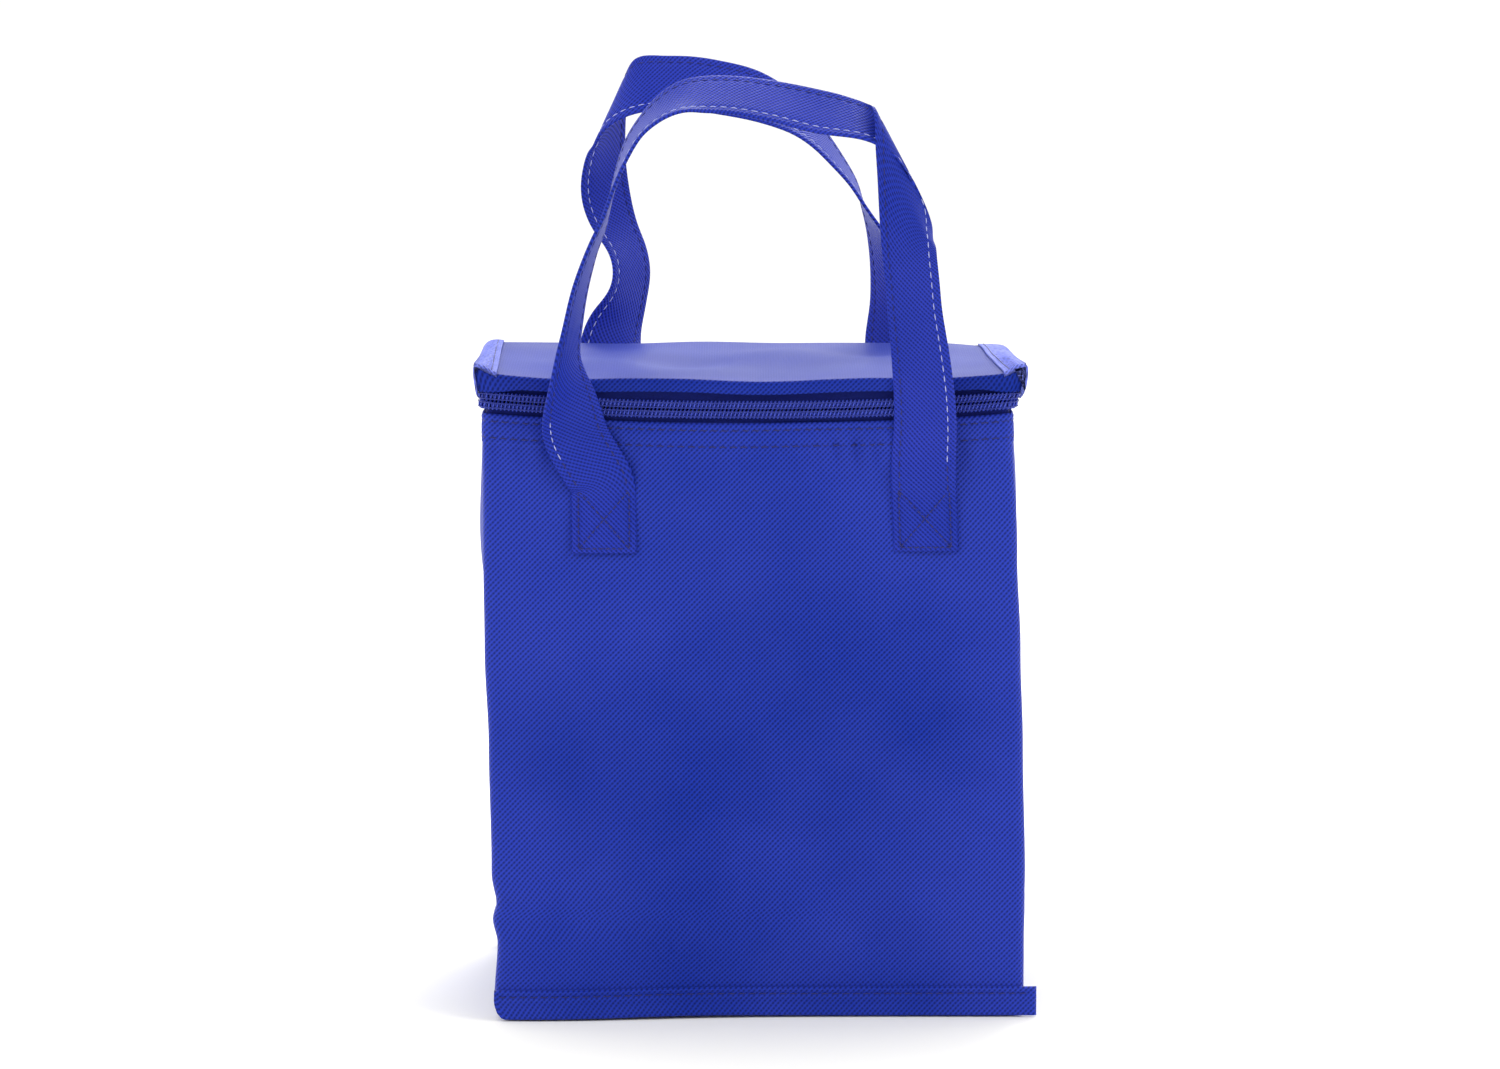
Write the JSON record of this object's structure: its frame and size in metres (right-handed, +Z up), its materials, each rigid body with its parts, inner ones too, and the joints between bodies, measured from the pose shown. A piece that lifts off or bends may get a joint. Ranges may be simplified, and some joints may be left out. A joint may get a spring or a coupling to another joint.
{
  "type": "insulated cooler bag",
  "caption": "Soft insulated cooler bag: upright cloth box over foam with a foil liner, a lid zipped on three sides and hinged at the back, and two flat strap handles.",
  "frame": {"origin": "middle of the bag's underside, on the surface it stands on", "axes": "+Z up, +X to the right seen from the front, +Y towards the back where the lid is hinged"},
  "size_m": [0.228, 0.209, 0.3788],
  "materials": {
    "nonwoven_cloth": "matte",
    "strap_cloth": "matte",
    "foam": "matte",
    "foil": "satin",
    "zip_tape": "matte",
    "zip_coil": "satin",
    "thread": "matte",
    "slider_paint": "gloss"
  },
  "bodies": {
    "shell": {"front_panel": "nonwoven_cloth", "back_panel": "nonwoven_cloth", "side_panel_left": "nonwoven_cloth", "side_panel_right": "nonwoven_cloth", "base_panel": "nonwoven_cloth", "front_insulation": "foam", "back_insulation": "foam", "side_insulation_left": "foam", "side_insulation_right": "foam", "base_insulation": "foam", "front_lining": "foil", "back_lining": "foil", "side_lining_left": "foil", "side_lining_right": "foil", "base_lining": "foil", "base_seam_band_front": "nonwoven_cloth", "base_seam_band_back": "nonwoven_cloth", "zip_tape_lower": "zip_tape", "zip_coil_lower": "zip_coil", "zip_stop_lower_left": "zip_coil", "zip_stop_lower_right": "zip_coil", "hinge_strip": "nonwoven_cloth", "strap_end_front_left": "strap_cloth", "strap_end_front_right": "strap_cloth", "strap_end_back_left": "strap_cloth", "strap_end_back_right": "strap_cloth", "box_stitch_front_left": "thread", "box_stitch_front_right": "thread", "box_stitch_back_left": "thread", "box_stitch_back_right": "thread"},
    "lid": {"lid_panel": "nonwoven_cloth", "lid_insulation": "foam", "lid_lining": "foil", "lid_rim": "nonwoven_cloth", "lid_end_band_left": "nonwoven_cloth", "lid_end_band_right": "nonwoven_cloth", "zip_tape_upper": "zip_tape", "zip_coil_upper": "zip_coil", "zip_stop_upper_left": "zip_coil", "zip_stop_upper_right": "zip_coil"},
    "front_handle": {"front_strap": "strap_cloth"},
    "back_handle": {"back_strap": "strap_cloth"},
    "slider": {"zip_slider": "slider_paint"},
    "pull": {"zip_pull": "slider_paint"}
  },
  "joints": [
    {"name": "lid_hinge", "type": "hinge", "parent": "shell", "child": "lid", "pos_m": [0, 0.0708, 0.2521], "axis": [-1, 0, 0], "range_deg": [0, 90]},
    {"name": "front_handle_fold", "type": "hinge", "parent": "shell", "child": "front_handle", "pos_m": [0, -0.072, 0.21315], "axis": [1, 0, 0], "range_deg": [0, 145]},
    {"name": "back_handle_fold", "type": "hinge", "parent": "shell", "child": "back_handle", "pos_m": [0, 0.072, 0.21315], "axis": [-1, 0, 0], "range_deg": [0, 145]},
    {"name": "zip_travel", "type": "slide", "parent": "shell", "child": "slider", "axis": [0, -1, 0], "range_m": [0, 0.095]},
    {"name": "pull_swing", "type": "hinge", "parent": "slider", "child": "pull", "pos_m": [0.11085, 0.051, 0.2452], "axis": [0, 0, 1], "range_deg": [0, 170]}
  ]
}
